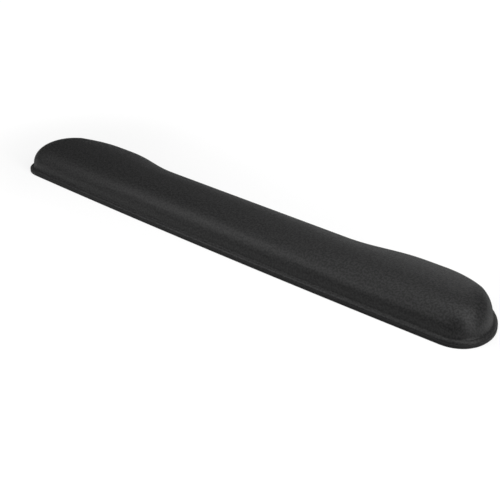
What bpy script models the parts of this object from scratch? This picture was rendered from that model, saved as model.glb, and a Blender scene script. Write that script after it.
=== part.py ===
"""Keyboard wrist rest: a moulded foam pad under a stretch-knit cover, bonded to a non-slip rubber mat.

Metres, +Z up. X runs along the length. The keyboard edge faces -Y and the user edge faces +Y.
The origin is on the table, under the middle of the outline.
"""

import math

import bmesh
import bpy
from mathutils import Vector

# Overall sizes
LENGTH = 0.480
DEPTH = 0.077
HEIGHT = 0.025

# Keyboard edge: nearly straight, with a slight bow and tight corners
KEYBOARD_BOW = 0.0029
KEYBOARD_CORNER_LENGTH = 0.0235
KEYBOARD_CORNER_DEPTH = 0.024
KEYBOARD_CORNER_POWER = 2.3

# User edge: two round lobes, with the edge drawn in between them
LOBE_CORNER_LENGTH = 0.062
LOBE_CORNER_POWER = 1.9
LOBE_LENGTH = 0.112
LOBE_EASE = 0.074
RECESS_DEPTH = 0.0096

# Crown of the pad: a quarter superellipse from the foot up to a line along the middle
CROWN_SETBACK = 0.029
CROWN_POWER = 2.7

# Layers, from the table up
MAT_THICKNESS = 0.0026
MAT_EDGE_RADIUS = 0.0005
FILM_THICKNESS = 0.0003
FILM_SETBACK = 0.0010
COVER_THICKNESS = 0.0008
SEAT_GAP = 0.0003

# Rim of the cover: a low lip where it is pressed onto the mat, then a hollow neck up to the pad's foot
HEM_SETBACK = 0.0002
LIP_WIDTH = 0.0014
LIP_RISE = 0.0008
NECK_WIDTH = 0.0020
NECK_RISE = 0.0030

# Mesh counts
CORNER_STEPS = 6
EDGE_STEPS = 20
LIP_STEPS = 1
NECK_STEPS = 3
CROWN_STEPS = 6
MAT_EDGE_SEGMENTS = 2
MERGE_DISTANCE = 0.00001
SHARP_ANGLE = math.radians(35)

# Places worked out from the sizes
TIP_Y = -DEPTH / 2 + KEYBOARD_BOW + KEYBOARD_CORNER_DEPTH
LOBE_CORNER_DEPTH = DEPTH / 2 - TIP_Y
FILM_BOTTOM = MAT_THICKNESS + SEAT_GAP
FILM_TOP = FILM_BOTTOM + FILM_THICKNESS
HEM_BOTTOM = FILM_TOP + SEAT_GAP
NECK_INSET = HEM_SETBACK + LIP_WIDTH
FOOT_INSET = NECK_INSET + NECK_WIDTH
FOOT_Z = HEM_BOTTOM + LIP_RISE + NECK_RISE
CORE_CLEARANCE = COVER_THICKNESS + SEAT_GAP


def clear_scene():
    for obj in list(bpy.data.objects):
        bpy.data.objects.remove(obj)


def quarter_turn(steps):
    """(sine, cosine) at even steps over a quarter turn, exact at both ends."""
    angles = [math.pi / 2 * step / steps for step in range(steps)]
    return [(math.sin(angle), math.cos(angle)) for angle in angles] + [(1.0, 0.0)]


def smoothstep(share):
    """Eases from 0 to 1 with no slope or curvature at either end."""
    share = min(max(share, 0.0), 1.0)
    return share**3 * (share * (6 * share - 15) + 10)


def bow(x):
    """How far the keyboard edge swells out at x."""
    return KEYBOARD_BOW * (1 - (2 * x / LENGTH) ** 2)


def recess(x):
    """How far the user edge is drawn in at x."""
    ease_start = LENGTH / 2 - LOBE_LENGTH + LOBE_EASE / 2
    return RECESS_DEPTH * smoothstep((ease_start - abs(x)) / LOBE_EASE)


def half_outline(corner_length, corner_depth, power, inset):
    """(x, reach, share) from the left tip to the right tip: how far the edge is from the line through
    the tips, in metres and as a share of its full reach. The corners are quarter superellipses."""
    half = LENGTH / 2 - inset
    across = corner_length - inset
    reach = corner_depth - inset
    corner = []
    for sine, cosine in quarter_turn(CORNER_STEPS):
        share = sine ** (2 / power)
        corner.append((across - half - across * cosine ** (2 / power), reach * share, share))
    straight = 2 * (half - across)
    middle = [(straight * (step / EDGE_STEPS - 0.5), reach, 1.0) for step in range(1, EDGE_STEPS)]
    return corner + middle + [(-x, depth, share) for x, depth, share in reversed(corner)]


def edges(inset):
    """Points of the keyboard edge and of the user edge, each from the left tip to the right tip."""
    keyboard = half_outline(KEYBOARD_CORNER_LENGTH, KEYBOARD_CORNER_DEPTH, KEYBOARD_CORNER_POWER, inset)
    user = half_outline(LOBE_CORNER_LENGTH, LOBE_CORNER_DEPTH, LOBE_CORNER_POWER, inset)
    return (
        [Vector((x, TIP_Y - reach - bow(x) * share, 0)) for x, reach, share in keyboard],
        [Vector((x, TIP_Y + reach - recess(x) * share, 0)) for x, reach, share in user],
    )


def ring(keyboard, user):
    """One closed ring, counter-clockwise from above, out of two edges that share their tips."""
    return keyboard + user[-2:0:-1]


def outline(inset, z):
    """The plan outline, drawn in by inset, at height z."""
    return [Vector((point.x, point.y, z)) for point in ring(*edges(inset))]


def crown_line(inset):
    """The pad's highest line, midway between its edges, with a point for each pair of edge points."""
    end = LENGTH / 2 - CROWN_SETBACK
    points = []
    for near, far in zip(*edges(inset)):
        x = min(max((near.x + far.x) / 2, -end), end)
        points.append(Vector((x, (KEYBOARD_BOW - bow(x) - recess(x)) / 2, 0)))
    return ring(points, points)


def lip_rings():
    """Rings of the cover's lip: a quarter round from its hem up to the neck."""
    rounds = quarter_turn(LIP_STEPS)[:-1]
    return [outline(NECK_INSET - LIP_WIDTH * cosine, HEM_BOTTOM + LIP_RISE * sine) for sine, cosine in rounds]


def pad_rings(clearance):
    """Rings of the pad from the lip, in by the hollow neck and up to its crown line. Clearance holds them
    in from the cover's outer face, and the neck starts where it meets the pad's flat bottom."""
    width = NECK_WIDTH + clearance
    rise = NECK_RISE + clearance
    start = math.acos(min((FOOT_Z - HEM_BOTTOM) / rise, 1.0))
    rings = []
    for step in range(NECK_STEPS + 1):
        turn = start + (math.pi / 2 - start) * step / NECK_STEPS
        rings.append(outline(NECK_INSET + width * math.sin(turn), FOOT_Z - rise * math.cos(turn)))
    foot = rings[-1]
    crown = crown_line(FOOT_INSET + clearance)
    height = HEIGHT - clearance - FOOT_Z
    for sine, cosine in quarter_turn(CROWN_STEPS)[1:]:
        inward = 1 - cosine ** (2 / CROWN_POWER)
        z = FOOT_Z + height * sine
        points = [low.lerp(high, inward) for low, high in zip(foot, crown)]
        rings.append([Vector((point.x, point.y, z)) for point in points])
    return rings


def skin(mesh, rings):
    """Lofts rings of points into a surface, and returns the rings' vertices."""
    verts = [[mesh.verts.new(point) for point in points] for points in rings]
    for lower, upper in zip(verts, verts[1:]):
        for i in range(len(lower)):
            mesh.faces.new((lower[i - 1], lower[i], upper[i], upper[i - 1]))
    return verts


def sheet(inset, bottom, thickness):
    """The outline as a flat sheet of this thickness."""
    mesh = bmesh.new()
    face = mesh.faces.new([mesh.verts.new(point) for point in outline(inset, bottom)])
    raised = bmesh.ops.extrude_face_region(mesh, geom=[face])["geom"]
    top = [item for item in raised if isinstance(item, bmesh.types.BMVert)]
    bmesh.ops.translate(mesh, verts=top, vec=(0, 0, thickness))
    return mesh


def make_material(name, colour, roughness):
    material = bpy.data.materials.new(name)
    material.use_nodes = True
    shader = material.node_tree.nodes["Principled BSDF"]
    shader.inputs["Base Color"].default_value = (*colour, 1.0)
    shader.inputs["Roughness"].default_value = roughness
    shader.inputs["Metallic"].default_value = 0.0
    material.diffuse_color = (*colour, 1.0)
    return material


def make_piece(name, mesh, material, parent):
    """Turns a finished bmesh into a named, smooth-shaded object."""
    bmesh.ops.remove_doubles(mesh, verts=mesh.verts, dist=MERGE_DISTANCE)
    bmesh.ops.recalc_face_normals(mesh, faces=mesh.faces)
    data = bpy.data.meshes.new(name)
    mesh.to_mesh(data)
    mesh.free()
    data.materials.append(material)
    data.shade_smooth()
    data.set_sharp_from_angle(angle=SHARP_ANGLE)
    obj = bpy.data.objects.new(name, data)
    bpy.context.scene.collection.objects.link(obj)
    obj.parent = parent
    return obj


def base_mat(parent):
    rubber = make_material("black_rubber", (0.012, 0.012, 0.013), 0.75)
    mat = make_piece("base_mat", sheet(0, 0, MAT_THICKNESS), rubber, parent)
    bevel = mat.modifiers.new("rounded_edge", "BEVEL")
    bevel.width = MAT_EDGE_RADIUS
    bevel.segments = MAT_EDGE_SEGMENTS
    bevel.limit_method = "ANGLE"


def bond_film(parent):
    glue = make_material("hot_melt_glue", (0.60, 0.57, 0.48), 0.40)
    film = sheet(HEM_SETBACK + FILM_SETBACK, FILM_BOTTOM, FILM_THICKNESS)
    make_piece("bond_film", film, glue, parent)


def foam_core(parent):
    foam = make_material("grey_foam", (0.16, 0.16, 0.17), 0.95)
    mesh = bmesh.new()
    rings = skin(mesh, pad_rings(CORE_CLEARANCE))
    mesh.faces.new(reversed(rings[0]))
    make_piece("foam_core", mesh, foam, parent)


def fabric_cover(parent):
    """The cover is one skin: up its inner face from the crown to the hem, and back over its outer face."""
    knit = make_material("black_knit", (0.022, 0.022, 0.024), 0.70)
    mesh = bmesh.new()
    skin(mesh, pad_rings(COVER_THICKNESS)[::-1] + lip_rings() + pad_rings(0))
    make_piece("fabric_cover", mesh, knit, parent)


def main():
    clear_scene()
    rest = bpy.data.objects.new("wrist_rest", None)
    bpy.context.scene.collection.objects.link(rest)
    base_mat(rest)
    bond_film(rest)
    foam_core(rest)
    fabric_cover(rest)


main()
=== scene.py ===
# Keyboard wrist rest: a knit cover over a foam pad, glued to a rubber mat.
# Metres, +Z up, X along the length, -Y is the keyboard side.
import math

import bmesh
import bpy
import numpy as np
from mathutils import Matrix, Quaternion, Vector


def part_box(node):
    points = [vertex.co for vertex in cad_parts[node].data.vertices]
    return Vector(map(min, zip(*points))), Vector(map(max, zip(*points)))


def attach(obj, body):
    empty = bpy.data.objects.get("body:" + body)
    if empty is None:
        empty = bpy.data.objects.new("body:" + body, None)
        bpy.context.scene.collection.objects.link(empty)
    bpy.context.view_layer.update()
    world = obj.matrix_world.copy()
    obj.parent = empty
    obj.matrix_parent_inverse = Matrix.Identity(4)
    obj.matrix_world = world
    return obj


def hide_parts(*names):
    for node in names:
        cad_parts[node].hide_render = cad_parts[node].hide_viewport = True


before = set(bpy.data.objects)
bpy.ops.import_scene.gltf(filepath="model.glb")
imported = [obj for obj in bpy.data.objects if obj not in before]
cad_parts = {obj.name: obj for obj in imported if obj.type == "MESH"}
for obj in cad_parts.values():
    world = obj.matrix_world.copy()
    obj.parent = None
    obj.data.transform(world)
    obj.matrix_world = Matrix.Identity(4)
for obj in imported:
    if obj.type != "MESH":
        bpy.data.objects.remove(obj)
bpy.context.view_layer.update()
matLow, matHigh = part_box("base_mat")
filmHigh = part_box("bond_film")[1]
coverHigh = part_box("fabric_cover")[1]
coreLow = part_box("foam_core")[0]
print("frame loaded:", len(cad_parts), "solids")


# Outline seen from above, shared by every layer
plan = dict(
    length=matHigh.x - matLow.x,
    depth=matHigh.y - matLow.y,
    bow=0.0029,                # swell of the keyboard edge
    keyboardCorner=0.0235,     # how far its corners reach along the edge
    keyboardReach=0.024,       # and across it
    keyboardPower=2.3,         # 2 would be an ellipse, and more is squarer
    lobeCorner=0.062,          # round lobes of the user edge
    lobePower=1.9,
    lobeLength=0.112,
    lobeEase=0.074,            # length over which a lobe runs into the drawn-in middle
    recess=0.0096,             # how far the middle is drawn in
    crownSetback=0.029,        # from the ends of the outline to the ends of the crown line
    columns=480,               # steps along each long edge
    samples=900,               # points that an edge is measured with
    merge=2e-6,                # points closer than this become one
)
halfLength = plan["length"] / 2
tipY = -plan["depth"] / 2 + plan["bow"] + plan["keyboardReach"]  # line through the two end tips


def smoothStep(share):
    # eases from 0 to 1, with no slope or curvature at either end
    share = np.clip(share, 0, 1)
    return share**3 * (share * (6 * share - 15) + 10)


def bowAt(x):
    # parabola, full in the middle and nothing at the ends
    return plan["bow"] * (1 - (x / halfLength) ** 2)


def recessAt(x):
    # full between the lobes, eased to nothing on each of them
    start = halfLength - plan["lobeLength"] + plan["lobeEase"] / 2
    return plan["recess"] * smoothStep((start - np.abs(x)) / plan["lobeEase"])


def evenly(points, count):
    # the same polyline, with count equal steps of arc length
    steps = np.linalg.norm(np.diff(points, axis=0), axis=1)
    along = np.concatenate([[0], np.cumsum(steps)])
    wanted = np.linspace(0, along[-1], count + 1)
    return np.stack([np.interp(wanted, along, axis) for axis in points.T], axis=1)


def longEdge(corner, reach, power, side, sway, count):
    # quarter superellipses at both ends and a straight run between them, swayed by the bow or the recess
    turn = np.linspace(0, np.pi / 2, plan["samples"])
    share = np.sin(turn) ** (2 / power)
    x = corner - halfLength - corner * np.cos(turn) ** (2 / power)
    run = np.linspace(x[-1], -x[-1], plan["samples"])[1:-1]
    x = np.concatenate([x, run, -x[::-1]])
    share = np.concatenate([share, np.ones(len(run)), share[::-1]])
    return evenly(np.stack([x, tipY + side * reach * share - sway(x) * share], axis=1), count)


def outlineRing(count):
    # keyboard edge from left to right, then the user edge back: counter-clockwise from above
    near = longEdge(plan["keyboardCorner"], plan["keyboardReach"], plan["keyboardPower"], -1, bowAt, count)
    far = longEdge(plan["lobeCorner"], plan["depth"] / 2 - tipY, plan["lobePower"], 1, recessAt, count)
    return np.concatenate([near, far[-2:0:-1]])


def outwardOf(ring):
    # unit normals of a ring in plan: its central difference, turned a quarter to the right
    along = np.roll(ring, -1, axis=0) - np.roll(ring, 1, axis=0)
    along /= np.linalg.norm(along, axis=1, keepdims=True)
    return np.stack([along[:, 1], -along[:, 0]], axis=1)


def crownLine(ring):
    # midway between each pair of opposite points, stopped short of the ends
    opposite = np.roll(ring[::-1], 1, axis=0)
    end = halfLength - plan["crownSetback"]
    x = np.clip((ring[:, 0] + opposite[:, 0]) / 2, -end, end)
    return np.stack([x, (plan["bow"] - bowAt(x) - recessAt(x)) / 2], axis=1)


def between(first, last, share):
    # rows of points, each a share of the way from one ring to another
    return first[None] + (last - first)[None] * share.reshape(-1, 1, 1)


def lifted(places, z):
    # rows of plan points with heights added: one for all, one a row or one a point
    return np.concatenate([places, np.broadcast_to(z, places.shape[:2])[:, :, None]], axis=2)


def rimRows(outline, away, inset, z):
    # rows of an outline drawn in by each inset, at each height
    return lifted(outline[None] - away[None] * inset[:, :, None], z)


def quarter(steps):
    # sine and cosine at even steps of a quarter turn, as columns
    turn = np.linspace(0, np.pi / 2, steps + 1)[:, None]
    return np.sin(turn), np.clip(np.cos(turn), 0, 1)


def loft(name, rings, clothPlace=None):
    # rows of points joined into quads, each row closed on itself; points that meet are merged
    rows, columns = rings.shape[:2]
    index = np.arange(rows * columns).reshape(rows, columns)
    beside = np.roll(index, -1, axis=1)
    quads = np.stack([index[:-1], beside[:-1], beside[1:], index[1:]], axis=-1).reshape(-1, 4)
    data = bpy.data.meshes.new(name)
    data.from_pydata(rings.reshape(-1, 3).tolist(), [], quads.tolist())
    if clothPlace is not None:
        layer = data.attributes.new("clothPlace", "FLOAT_VECTOR", "POINT")
        layer.data.foreach_set("vector", clothPlace.astype(np.float32).ravel())
    mesh = bmesh.new()
    mesh.from_mesh(data)
    bmesh.ops.remove_doubles(mesh, verts=mesh.verts, dist=plan["merge"])
    mesh.to_mesh(data)
    mesh.free()
    data.shade_smooth()
    piece = bpy.data.objects.new(name, data)
    bpy.context.scene.collection.objects.link(piece)
    return piece


# Camera, at the photograph's viewing angle
shot = dict(
    azimuth=43.969,
    elevation=26.032,
    distance=0.90242,
    target=(0.04094, -0.03181, 0.010),
    roll=-0.775,               # the photograph hangs a little to one side
    lens=86.4,
    sensor=36,
    clip=(0.01, 40),
)


def wayTo(azimuth, elevation):
    # unit vector at two angles in degrees: azimuth round from -Y towards +X, elevation up from level
    azimuth, elevation = math.radians(azimuth), math.radians(elevation)
    level = math.cos(elevation)
    return Vector((math.sin(azimuth) * level, -math.cos(azimuth) * level, math.sin(elevation)))


def placeCamera():
    # stands back from the target along its two angles, looks at it and rolls
    back = wayTo(shot["azimuth"], shot["elevation"])
    lens = bpy.data.cameras.new("shotCamera")
    lens.lens = shot["lens"]
    lens.sensor_width = shot["sensor"]
    lens.clip_start, lens.clip_end = shot["clip"]
    camera = bpy.data.objects.new("shotCamera", lens)
    camera.location = Vector(shot["target"]) + back * shot["distance"]
    roll = Quaternion((0, 0, 1), math.radians(shot["roll"]))
    camera.rotation_euler = ((-back).to_track_quat("-Z", "Y") @ roll).to_euler()
    bpy.context.scene.collection.objects.link(camera)
    bpy.context.scene.camera = camera


placeCamera()
print("camera placed")


# Knit cover: hem on the mat, rounded lip, tight neck, crowned pad
cover = dict(
    thickness=0.0008,
    hemWidth=0.0006,           # where the cloth is glued down on the mat, outside the film
    hemSetback=0.0005,         # from the mat's edge
    hemGap=0.00006,            # above the mat and the film
    lipWidth=0.0020,
    lipTop=(0.0042, 0.0047),   # height of the lip above the table at the -X and the +X end
    lipPower=1.6,
    neckWidth=0.0011,
    neckRise=0.0026,
    crownPower=2.7,
    lipSteps=9,
    neckSteps=7,
    crownSteps=46,
    innerNeckSteps=4,
    innerCrownSteps=10,
    cut=(0.092, 0.488),        # the cloth before it is stretched 8% across and 3% along
    cutArea=0.0399,
)
neckInset = cover["hemSetback"] + cover["lipWidth"]
hemZ = matHigh.z + cover["hemGap"]
innerZ = filmHigh.z + cover["hemGap"]  # where the inner face starts, over the film
ring = outlineRing(plan["columns"])
outward = outwardOf(ring)


def lipTopAt(x):
    # eased from its height at one end to that at the other
    low, high = cover["lipTop"]
    return low + (high - low) * smoothStep(0.5 + x / plan["length"])


def lipRows(steps):
    # a quarter superellipse from the hem up to the neck
    sine, cosine = (wave ** (2 / cover["lipPower"]) for wave in quarter(steps))
    inset = neckInset - cover["lipWidth"] * cosine
    z = hemZ + (lipTopAt(ring[:, 0])[None] - hemZ) * sine
    return rimRows(ring, outward, inset, z)[:-1]


def neckRows(clearance, steps, low):
    # in by a quarter-hollow ellipse from the lip, or from the height low, to just short of the pad's foot
    lipTop = lipTopAt(ring[:, 0])[None]
    width, rise = cover["neckWidth"] + clearance, cover["neckRise"] + clearance
    footZ = lipTop + cover["neckRise"]
    start = np.arccos(np.minimum((footZ - low) / rise, 1))
    turn = start + (np.pi / 2 - start) * np.linspace(0, 1, steps + 1)[:-1, None]
    return rimRows(ring, outward, neckInset + width * np.sin(turn), footZ - rise * np.cos(turn))


def crownRows(clearance, steps, outline=ring, away=outward):
    # from the pad's foot, a quarter superellipse up to the crown line;
    # clearance holds the rows in from the cover's outer face
    footZ = lipTopAt(outline[:, 0]) + cover["neckRise"]
    foot = outline - away * (neckInset + cover["neckWidth"] + clearance)
    sine, cosine = quarter(steps)
    inward = 1 - cosine ** (2 / cover["crownPower"])
    height = coverHigh.z - clearance - footZ
    return lifted(between(foot, crownLine(foot), inward), footZ + height * sine)


# Air pressure under a coarse copy of the pad, to settle the cloth over its foam
settle = dict(
    columns=130,
    rows=14,
    slack=0.0001,              # the copy starts this much smaller
    pressure=4.0,
    frames=20,
    stiffness=80.0,
    shear=40.0,
    bending=5.0,
    mass=0.3,
    quality=6,
    cap=0.0008,                # the furthest a point may move
    holdRows=3.0,              # rows above the foot over which the cloth comes free
)


def nearestOf(points, others):
    # for each point, the index of the closest of the others: the least squared distance
    apart = (points**2).sum(1)[:, None] + (others**2).sum(1)[None] - 2 * points @ others.T
    return apart.argmin(axis=1)


def stepPressure(pad, foot):
    # runs the cloth with its foot held, and gives where each point starts and how far it has moved
    count = len(pad.data.vertices)
    start, end = np.empty(count * 3, np.float32), np.empty(count * 3, np.float32)
    pad.data.vertices.foreach_get("co", start)
    low = np.unique(nearestOf(foot, start.reshape(-1, 3).astype(float)))
    pad.vertex_groups.new(name="held").add(low.tolist(), 1.0, "REPLACE")
    cloth = pad.modifiers.new("pressure", "CLOTH")
    feel = cloth.settings
    feel.quality, feel.mass = settle["quality"], settle["mass"]
    feel.tension_stiffness = feel.compression_stiffness = settle["stiffness"]
    feel.shear_stiffness, feel.bending_stiffness = settle["shear"], settle["bending"]
    feel.use_pressure, feel.uniform_pressure_force = True, settle["pressure"]
    feel.effector_weights.gravity = 0
    feel.vertex_group_mass = "held"
    cloth.collision_settings.use_collision = False
    scene = bpy.context.scene
    for step in range(1, settle["frames"] + 1):
        scene.frame_set(step)
    shown = pad.evaluated_get(bpy.context.evaluated_depsgraph_get())
    shown.data.vertices.foreach_get("co", end)
    scene.frame_set(1)
    return start.reshape(-1, 3).astype(float), (end - start).reshape(-1, 3).astype(float)


def settlePad():
    # how far the settled cloth lies from the plain form, on the coarse grid
    outline = outlineRing(settle["columns"])
    away = outwardOf(outline)
    plain = crownRows(0, settle["rows"], outline, away)
    slack = crownRows(settle["slack"], settle["rows"], outline, away)
    pad = loft("settlingPad", slack)
    start, move = stepPressure(pad, slack[0])
    bpy.data.objects.remove(pad)
    move = move[nearestOf(slack.reshape(-1, 3), start)].reshape(plain.shape)
    length = np.linalg.norm(move, axis=2, keepdims=True)
    move *= settle["cap"] / np.maximum(length, settle["cap"])
    free = smoothStep(np.arange(len(plain)) / settle["holdRows"])[:, None, None]
    total = (slack + move - plain) * free
    lift = total[:, :, 2]
    far, low, high = (round(1000 * value, 2) for value in (length.max(), lift.min(), lift.max()))
    print("cloth settled: moved up to", far, "mm, ends", low, "to", high, "mm off the plain form")
    return total


def splineWeights(places, count, wrap):
    # cubic B-spline: what each of count points gives to a curve at each place
    base = np.floor(places).astype(int)
    part = places - base
    share = np.stack([
        (1 - part) ** 3,
        3 * part**3 - 6 * part**2 + 4,
        -3 * part**3 + 3 * part**2 + 3 * part + 1,
        part**3], axis=1) / 6
    index = base[:, None] + np.arange(-1, 3)
    index = index % count if wrap else np.clip(index, 0, count - 1)
    weights = np.zeros((len(places), count))
    np.add.at(weights, (np.arange(len(places))[:, None], index), share)
    return weights


settled = settlePad()


def settledRows(clearance, crownSteps):
    # the crown's rows, with the settled cloth's offsets spread over them
    rows = crownRows(clearance, crownSteps)
    crownX = rows[-1, :, 0].copy()
    upward = splineWeights(np.linspace(0, settle["rows"], crownSteps + 1), settle["rows"] + 1, False)
    around = np.arange(2 * plan["columns"]) * settle["columns"] / plan["columns"]
    sideways = splineWeights(around, 2 * settle["columns"], True)
    rows += np.einsum("ra,cb,abk->rck", upward, sideways, settled, optimize=True)
    rows[-1] = (rows[-1] + np.roll(rows[-1][::-1], 1, axis=0)) / 2  # both sides meet on the crown line
    for end in (crownX.min(), crownX.max()):
        pole = np.isclose(crownX, end)
        rows[-1, pole] = rows[-1, pole].mean(axis=0)
    return rows


def unfold(rows):
    # cloth laid flat: from the crown line outwards, by the length of cloth down each column
    lengths = np.linalg.norm(np.diff(rows, axis=0), axis=2)[::-1]
    down = np.concatenate([np.zeros((1, rows.shape[1])), np.cumsum(lengths, axis=0)])[::-1]
    way = rows[0, :, :2] - rows[-1, :, :2]
    way /= np.linalg.norm(way, axis=1, keepdims=True)
    return lifted(rows[-1:, :, :2] + way[None] * down[:, :, None], 0)


def makeCover():
    # one closed skin: down the inner face from the crown line to the hem, then out over the lip,
    # up the neck and back over the crown
    hemInset = np.full((2, 1), cover["hemSetback"] + cover["hemWidth"])
    inner = np.concatenate([
        rimRows(ring, outward, hemInset, np.array([[hemZ], [innerZ]])),
        neckRows(cover["thickness"], cover["innerNeckSteps"], innerZ),
        settledRows(cover["thickness"], cover["innerCrownSteps"])])
    outer = np.concatenate([
        lipRows(cover["lipSteps"]),
        neckRows(0, cover["neckSteps"], hemZ),
        settledRows(0, cover["crownSteps"])])
    flat = unfold(outer)
    places = np.concatenate([unfold(inner)[::-1], flat])
    piece = loft("knitCover", np.concatenate([inner[::-1], outer]), places)
    x, y = flat[0, :, :2].T
    size = np.round([np.ptp(x), np.ptp(y)], 4)
    area = abs(np.dot(x, np.roll(y, -1)) - np.dot(y, np.roll(x, -1))) / 2
    print("knit cover lofted, unfolds to", size, "m,", round(area, 5), "m2")
    return piece


knitCover = makeCover()


# Foam core: the same neck and crown inside the cover, on a flat bottom
core = dict(
    seatGap=0.0003,            # between the core and the cover's inner face
    neckSteps=5,
    crownSteps=24,
    bottomSteps=8,
)


def makeCore():
    # the flat bottom grows from under the crown line out to the neck, and the wall goes on from there
    clearance = cover["thickness"] + core["seatGap"]
    wall = np.concatenate([
        neckRows(clearance, core["neckSteps"], coreLow.z),
        settledRows(clearance, core["crownSteps"])])
    middle = lifted(wall[-1:, :, :2], coreLow.z)[0]
    share = np.linspace(0, 1, core["bottomSteps"] + 1)[:-1]
    return loft("foamCore", np.concatenate([between(middle, wall[0], share), wall]))


foamCore = makeCore()
print("foam core lofted")


# Rubber mat: flat top, rounded edge, waffle grip underneath
mat = dict(
    edgeRadius=0.00015,
    edgeSteps=5,
    wallSteps=4,
    topSteps=6,
    gripSteps=40,
    gripPitch=0.0064,
    gripDepth=0.00035,
    gripMargin=0.004,          # plain border round the grip
)


def makeMat():
    # underneath, from the middle line out to the edge, a product of two cosines that fades at the border;
    # then a quarter round, the wall, a quarter round and the flat top back to the middle line
    radius = mat["edgeRadius"]
    middle = crownLine(ring)
    edge = ring - outward * radius
    places = between(middle, edge, np.linspace(0, 1, mat["gripSteps"] + 1)[:-1])
    wave = np.cos(places * 2 * np.pi / mat["gripPitch"])
    lift = mat["gripDepth"] * (1 + wave[:, :, 0] * wave[:, :, 1]) / 2
    lift *= smoothStep(np.linalg.norm(edge[None] - places, axis=2) / mat["gripMargin"])
    under = lifted(places, matLow.z + lift)
    sine, cosine = quarter(mat["edgeSteps"])
    wall = np.linspace(matLow.z + radius, matHigh.z - radius, mat["wallSteps"] + 1)[1:-1, None]
    inset = radius * (1 - np.concatenate([sine, np.ones_like(wall), cosine]))
    z = np.concatenate([matLow.z + radius * (1 - cosine), wall, matHigh.z - radius * (1 - sine)])
    side = rimRows(ring, outward, inset, z)
    top = lifted(between(edge, middle, np.linspace(0, 1, mat["topSteps"] + 1)[1:]), matHigh.z)
    return loft("baseMat", np.concatenate([under, side, top]))


baseMat = makeMat()
print("rubber mat lofted")


# Finishes
def addNode(tree, kind, inputs=None, **settings):
    # a node with its settings; each input takes a number, a colour or another node's output
    node = tree.nodes.new(kind)
    for key, value in settings.items():
        setattr(node, key, value)
    for name, value in (inputs or {}).items():
        if isinstance(value, bpy.types.NodeSocket):
            tree.links.new(value, node.inputs[name])
        else:
            node.inputs[name].default_value = value
    return node


def calc(tree, operation, *values):
    # one sum: the operation on one to three numbers or outputs
    return addNode(tree, "ShaderNodeMath", dict(enumerate(values)), operation=operation).outputs[0]


def ranged(tree, share, start, end):
    # the number a share of the way from start to end
    return calc(tree, "MULTIPLY_ADD", share, end - start, start)


def weighed(tree, weights, *values):
    # the sum of the values, each times its weight
    total = 0.0
    for weight, value in zip(weights, values):
        total = calc(tree, "MULTIPLY_ADD", value, weight, total)
    return total


def blend(tree, share, low, high):
    # the colour a share of the way from low to high: a Mix node's inputs 6 and 7, and its output 2
    return addNode(tree, "ShaderNodeMix", {0: share, 6: low, 7: high}, data_type="RGBA").outputs[2]


def newGroup(name, inputs, output):
    # an empty shader group with named sockets; gives it, its inputs and the socket for its output
    tree = bpy.data.node_groups.new(name, "ShaderNodeTree")
    for label, kind in inputs.items():
        tree.interface.new_socket(label, in_out="INPUT", socket_type="NodeSocket" + kind)
    tree.interface.new_socket(output, in_out="OUTPUT", socket_type="NodeSocketFloat")
    return tree, addNode(tree, "NodeGroupInput").outputs, addNode(tree, "NodeGroupOutput").inputs[output]


# Patterns that the finishes place with their own sizes
pattern = dict(
    grainDetail=3.0,
    legSlant=1.3,              # lean of a loop's legs, in courses for each width of a wale
    legSwell=0.25,             # share of a leg's height that comes and goes along it
)


def grainGroup():
    # noise of a stated size, spread about one half by the contrast
    inputs = {"Place": "Vector", "Size": "Float", "Contrast": "Float"}
    tree, given, result = newGroup("fineGrain", inputs, "Grain")
    noise = addNode(tree, "ShaderNodeTexNoise", {
        "Vector": given["Place"],
        "Scale": calc(tree, "DIVIDE", 1.0, given["Size"]),
        "Detail": pattern["grainDetail"]})
    centred = calc(tree, "SUBTRACT", noise.outputs[0], 0.5)
    tree.links.new(calc(tree, "MULTIPLY_ADD", centred, given["Contrast"], 0.5), result)
    return tree


def loopGroup():
    # jersey knit: two mirrored legs in each wale, a parabola across each of them,
    # times a sine wave along the courses that rises with the leg
    inputs = {"Place": "Vector", "Wale": "Float", "Course": "Float"}
    tree, given, result = newGroup("knitLoops", inputs, "Loop")
    x, y, _ = addNode(tree, "ShaderNodeSeparateXYZ", {0: given["Place"]}).outputs
    across = calc(tree, "FRACT", calc(tree, "DIVIDE", x, given["Wale"]))
    leg = calc(tree, "ABSOLUTE", calc(tree, "SUBTRACT", across, 0.5))
    offLeg = calc(tree, "MULTIPLY_ADD", leg, 4.0, -1.0)  # from -1 to 1 across a leg
    yarn = calc(tree, "SUBTRACT", 1.0, calc(tree, "MULTIPLY", offLeg, offLeg))
    rising = calc(tree, "MULTIPLY_ADD", leg, pattern["legSlant"], calc(tree, "DIVIDE", y, given["Course"]))
    wave = calc(tree, "SINE", calc(tree, "MULTIPLY", rising, 2 * math.pi))
    swell = calc(tree, "MULTIPLY_ADD", wave, pattern["legSwell"], 1 - pattern["legSwell"])
    tree.links.new(calc(tree, "MULTIPLY", yarn, swell), result)
    return tree


fineGrain, knitLoops = grainGroup(), loopGroup()


def grain(tree, place, size, contrast):
    # the grain group placed in a material
    inputs = {"Place": place, "Size": size, "Contrast": contrast}
    return addNode(tree, "ShaderNodeGroup", inputs, node_tree=fineGrain).outputs["Grain"]


def newFinish(name, plain):
    # a material with the shader's plain values set by socket name; gives it, its tree and its shader
    material = bpy.data.materials.new(name)
    material.use_nodes = True
    shader = material.node_tree.nodes["Principled BSDF"]
    for label, value in plain.items():
        shader.inputs[label].default_value = value
    return material, material.node_tree, shader


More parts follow.
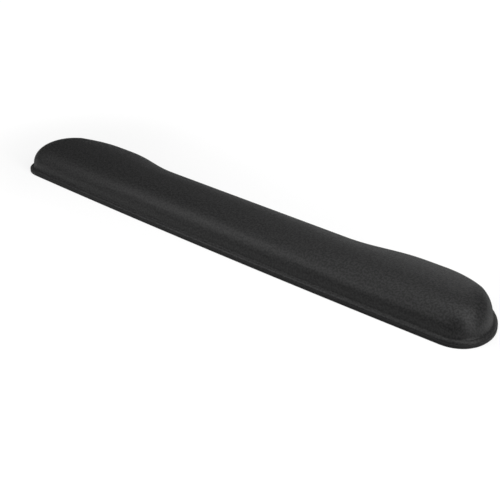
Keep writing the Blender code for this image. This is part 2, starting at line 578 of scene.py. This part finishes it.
def dress(tree, shader, look, tone, rough, height):
    # joins up a shader: a colour between the look's two tones, a roughness, and a bump of its depth
    bump = addNode(tree, "ShaderNodeBump", {
        "Height": height, "Distance": look["depth"], "Strength": look["strength"]})
    tree.links.new(blend(tree, tone, *look["tones"]), shader.inputs["Base Color"])
    tree.links.new(rough, shader.inputs["Roughness"])
    tree.links.new(bump.outputs["Normal"], shader.inputs["Normal"])


# Each grain has a size and a contrast; depth and strength are the bump's
knit = dict(
    tones=((0.0093, 0.0093, 0.0094, 1), (0.0244, 0.0244, 0.0246, 1)),  # painted shade between the loops (also the dark of the grains), and the yarn
    wale=0.0008,
    course=0.00066,
    wander=0.00016,            # how far the loops stray
    wanderDetail=1.0,
    fleck=(0.0016, 14.0),      # single bright and dark stitches
    mottle=(0.0022, 1.6),      # fine unevenness
    patch=(0.030, 1.0),        # broad unevenness
    weights=(0.3, 0.5, 0.1, 0.1),  # of the loops (painted shade between them), flecks, mottle and patches in the tone
    heights=(1.0, 0.8),        # of the loops and the mottle in the bump
    roughness=(0.50, 0.40),
    fuzz=0.42,                 # added roughness where the cloth is seen along its surface
    fuzzPower=3.0,
    depth=0.00022,
    strength=0.20,
    plain={"Specular IOR Level": 0.214, "Sheen Weight": 0.03, "Sheen Roughness": 0.4},
)


def knitFinish():
    # loops on the cloth laid flat, each place strayed by noise; the weighted sum of loops and grains is
    # the tone, with painted shade between the loops, and the mottle's roughness grows with a power of how
    # far the surface turns away
    material, tree, shader = newFinish("blackKnit", knit["plain"])
    place = addNode(tree, "ShaderNodeAttribute", attribute_name="clothPlace").outputs["Vector"]
    stray = addNode(tree, "ShaderNodeTexNoise", {
        "Vector": place, "Scale": 1 / knit["mottle"][0], "Detail": knit["wanderDetail"]})
    centred = addNode(tree, "ShaderNodeVectorMath", {
        0: stray.outputs["Color"], 1: (0.5, 0.5, 0.5)}, operation="SUBTRACT")
    moved = addNode(tree, "ShaderNodeVectorMath", {
        0: centred.outputs[0], 1: (knit["wander"],) * 3, 2: place}, operation="MULTIPLY_ADD")
    loop = addNode(tree, "ShaderNodeGroup", {
        "Place": moved.outputs[0], "Wale": knit["wale"], "Course": knit["course"]},
        node_tree=knitLoops).outputs["Loop"]
    fleck, mottle, patch = (grain(tree, place, *knit[name]) for name in ("fleck", "mottle", "patch"))
    # the loops' share darkens the tone in the gaps between them: painted shade
    tone = weighed(tree, knit["weights"], loop, fleck, mottle, patch)
    facing = addNode(tree, "ShaderNodeLayerWeight").outputs["Facing"]
    aslant = calc(tree, "POWER", facing, knit["fuzzPower"])
    rough = calc(tree, "MULTIPLY_ADD", aslant, knit["fuzz"], ranged(tree, mottle, *knit["roughness"]))
    dress(tree, shader, knit, tone, rough, weighed(tree, knit["heights"], loop, mottle))
    return material


rubber = dict(
    tones=((0.0125, 0.0125, 0.0128, 1), (0.031, 0.031, 0.0315, 1)),
    fine=(0.0006, 1.5),
    streak=(0.0012, 1.5),      # cut marks on the edge
    streakScale=(1, 1, 0.12),  # which draws them out upwards
    weights=(0.35, 0.35, 0.35),  # of the fine grain, the streaks and the rubbed edges in the tone
    heights=(1.0, 0.6),        # of the fine grain and the streaks in the bump
    rubbed=0.0006,             # how far down the edges are rubbed lighter
    roughness=(0.55, 0.80),
    depth=0.00008,
    strength=0.6,
    plain={"Specular IOR Level": 0.15},
)


def rubberFinish():
    # two grains, one of them drawn out up the cut edge, and a lighter tone that grows towards the faces
    # with the distance from half height
    material, tree, shader = newFinish("blackRubber", rubber["plain"])
    place = addNode(tree, "ShaderNodeTexCoord").outputs["Object"]
    upright = addNode(tree, "ShaderNodeMapping", {"Vector": place, "Scale": rubber["streakScale"]})
    fine = grain(tree, place, *rubber["fine"])
    streak = grain(tree, upright.outputs[0], *rubber["streak"])
    height = addNode(tree, "ShaderNodeSeparateXYZ", {0: place}).outputs["Z"]
    half = (matHigh.z - matLow.z) / 2
    fromMiddle = calc(tree, "ABSOLUTE", calc(tree, "SUBTRACT", height, matLow.z + half))
    rubbed = addNode(tree, "ShaderNodeMapRange", {
        "Value": fromMiddle, "From Min": half - rubber["rubbed"], "From Max": half}).outputs[0]
    tone = weighed(tree, rubber["weights"], fine, streak, rubbed)
    rough = ranged(tree, fine, *rubber["roughness"])
    dress(tree, shader, rubber, tone, rough, weighed(tree, rubber["heights"], fine, streak))
    return material


foam = dict(
    tones=((0.06, 0.06, 0.065, 1), (0.19, 0.19, 0.2, 1)),  # painted shade in the pores, and their walls
    cell=0.0011,
    wall=(0.15, 0.6),          # where a wall starts and is full, in cells from the middle of one
    cloud=(0.02, 0.8),
    weights=(0.7, 0.3),        # of the walls and the clouds in the tone
    roughness=(0.98, 0.88),
    depth=0.0003,
    strength=0.8,
    plain={"Specular IOR Level": 0.1},
)


def foamFinish():
    # open cells: the distance from each cell's middle, ranged from pore to wall, under a broad grain; the
    # pores' dark tone is painted shade
    material, tree, shader = newFinish("greyFoam", foam["plain"])
    place = addNode(tree, "ShaderNodeTexCoord").outputs["Object"]
    cells = addNode(tree, "ShaderNodeTexVoronoi", {"Vector": place, "Scale": 1 / foam["cell"]})
    start, full = foam["wall"]
    wall = addNode(tree, "ShaderNodeMapRange", {
        "Value": cells.outputs["Distance"], "From Min": start, "From Max": full}).outputs[0]
    # the tone darkens towards each pore's middle: painted shade in the pores
    tone = weighed(tree, foam["weights"], wall, grain(tree, place, *foam["cloud"]))
    dress(tree, shader, foam, tone, ranged(tree, wall, *foam["roughness"]), wall)
    return material


glue = dict(
    tones=((0.52, 0.49, 0.40, 1), (0.66, 0.63, 0.55, 1)),  # clear and milky
    cloud=(0.006, 1.6),
    ripple=(0.0018, 1.2),
    roughness=(0.3, 0.6),
    depth=0.0001,
    strength=0.5,
)


def glueFinish():
    # one grain clouds the colour, and a finer one ripples the roughness and the bump
    material, tree, shader = newFinish("gluedFilm", {})
    place = addNode(tree, "ShaderNodeTexCoord").outputs["Object"]
    cloud, ripple = (grain(tree, place, *glue[name]) for name in ("cloud", "ripple"))
    dress(tree, shader, glue, cloud, ranged(tree, ripple, *glue["roughness"]), ripple)
    return material


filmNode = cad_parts["bond_film"]
filmNode.data.materials.clear()
for piece, finish in (
    (knitCover, knitFinish),
    (foamCore, foamFinish),
    (baseMat, rubberFinish),
    (filmNode, glueFinish),
):
    piece.data.materials.append(finish())
print("finishes made")


# Round floor and white surround
stage = dict(
    radius=12.0,
    rings=6,
    steps=96,
    shade=0.29,
    glow=(0.71, 1.0),          # white added to the floor, near the object and far from it
    spine=0.20,                # half the length of the line that the distance is taken from
    glowReach=(0.04, 0.30),    # distances between which the one eases into the other
)


def seenBy(tree, *rays):
    # 1 where one of these kinds of ray asks, otherwise 0: the largest of them
    path = addNode(tree, "ShaderNodeLightPath").outputs
    seen = path[rays[0]]
    for ray in rays[1:]:
        seen = calc(tree, "MAXIMUM", seen, path[ray])
    return seen


def floorFinish():
    # pale grey that takes the shadow, with white added by the distance from a line under the object:
    # the root of y squared plus the square of how far x is past the line's end
    shade = stage["shade"]
    material, tree, shader = newFinish("paleFloor", {
        "Base Color": (shade, shade, shade, 1), "Roughness": 1.0, "Specular IOR Level": 0.0,
        "Emission Color": (1, 1, 1, 1)})
    place = addNode(tree, "ShaderNodeTexCoord").outputs["Object"]
    x, y, _ = addNode(tree, "ShaderNodeSeparateXYZ", {0: place}).outputs
    past = calc(tree, "MAXIMUM", calc(tree, "SUBTRACT", calc(tree, "ABSOLUTE", x), stage["spine"]), 0.0)
    away = calc(tree, "SQRT", calc(tree, "MULTIPLY_ADD", past, past, calc(tree, "MULTIPLY", y, y)))
    (near, far), (start, end) = stage["glow"], stage["glowReach"]
    glow = addNode(tree, "ShaderNodeMapRange", {
        "Value": away, "From Min": start, "From Max": end, "To Min": near, "To Max": far},
        interpolation_type="SMOOTHSTEP").outputs[0]
    seen = seenBy(tree, "Is Camera Ray", "Is Glossy Ray", "Is Transmission Ray")
    tree.links.new(calc(tree, "MULTIPLY", seen, glow), shader.inputs["Emission Strength"])
    return material


def makeFloor():
    # a disc: circles whose radius grows with the square of their count
    reach = stage["radius"] * np.linspace(0, 1, stage["rings"]) ** 2
    angle = np.linspace(0, 2 * np.pi, stage["steps"], endpoint=False)
    circle = np.stack([np.cos(angle), np.sin(angle)], axis=1)
    floor = loft("floor", lifted(reach[::-1, None, None] * circle, 0))
    floor.data.materials.append(floorFinish())


def makeWorld():
    # plain white above the floor; glossy rays are left out, because the cloth would take them as more light
    world = bpy.data.worlds.new("studio")
    world.use_nodes = True
    tree = world.node_tree
    background = tree.nodes["Background"]
    background.inputs["Color"].default_value = (1, 1, 1, 1)
    seen = seenBy(tree, "Is Camera Ray", "Is Transmission Ray")
    tree.links.new(seen, background.inputs["Strength"])
    bpy.context.scene.world = world


# Soft square panels, each facing the object: angles as for the camera, size is a side, power is in watts
lamps = dict(
    keyLow=dict(azimuth=324, elevation=34, distance=0.60, size=0.30, power=0.83),
    keyHigh=dict(azimuth=314, elevation=44, distance=0.60, size=0.30, power=0.91),
    topPanel=dict(azimuth=90, elevation=86, distance=0.50, size=0.30, power=0.90),
    endHigh=dict(azimuth=95, elevation=48, distance=0.60, size=0.30, power=1.33),
    endMiddle=dict(azimuth=84, elevation=25, distance=0.70, size=0.30, power=0.73),
    endLow=dict(azimuth=84, elevation=12, distance=1.30, size=0.45, power=3.5),
    backLow=dict(azimuth=203, elevation=12, distance=1.30, size=0.50, power=1.29),
    backHigh=dict(azimuth=222, elevation=44, distance=0.90, size=0.30, power=0.20),
)


def makeLamps():
    # each panel stands off the origin along its two angles and looks back at it
    for name, lamp in lamps.items():
        way = wayTo(lamp["azimuth"], lamp["elevation"])
        light = bpy.data.lights.new(name, "AREA")
        light.size = lamp["size"]
        light.energy = lamp["power"]
        panel = bpy.data.objects.new(name, light)
        panel.location = way * lamp["distance"]
        panel.rotation_euler = way.to_track_quat("Z", "Y").to_euler()
        bpy.context.scene.collection.objects.link(panel)


makeFloor()
makeWorld()
makeLamps()
bpy.context.scene.view_settings.view_transform = "Standard"
print("stage set")


for piece, node, slot in (
    (knitCover, "fabric_cover", "black_knit"),
    (foamCore, "foam_core", "grey_foam"),
    (baseMat, "base_mat", "black_rubber"),
):
    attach(piece, "root")
    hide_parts(node)
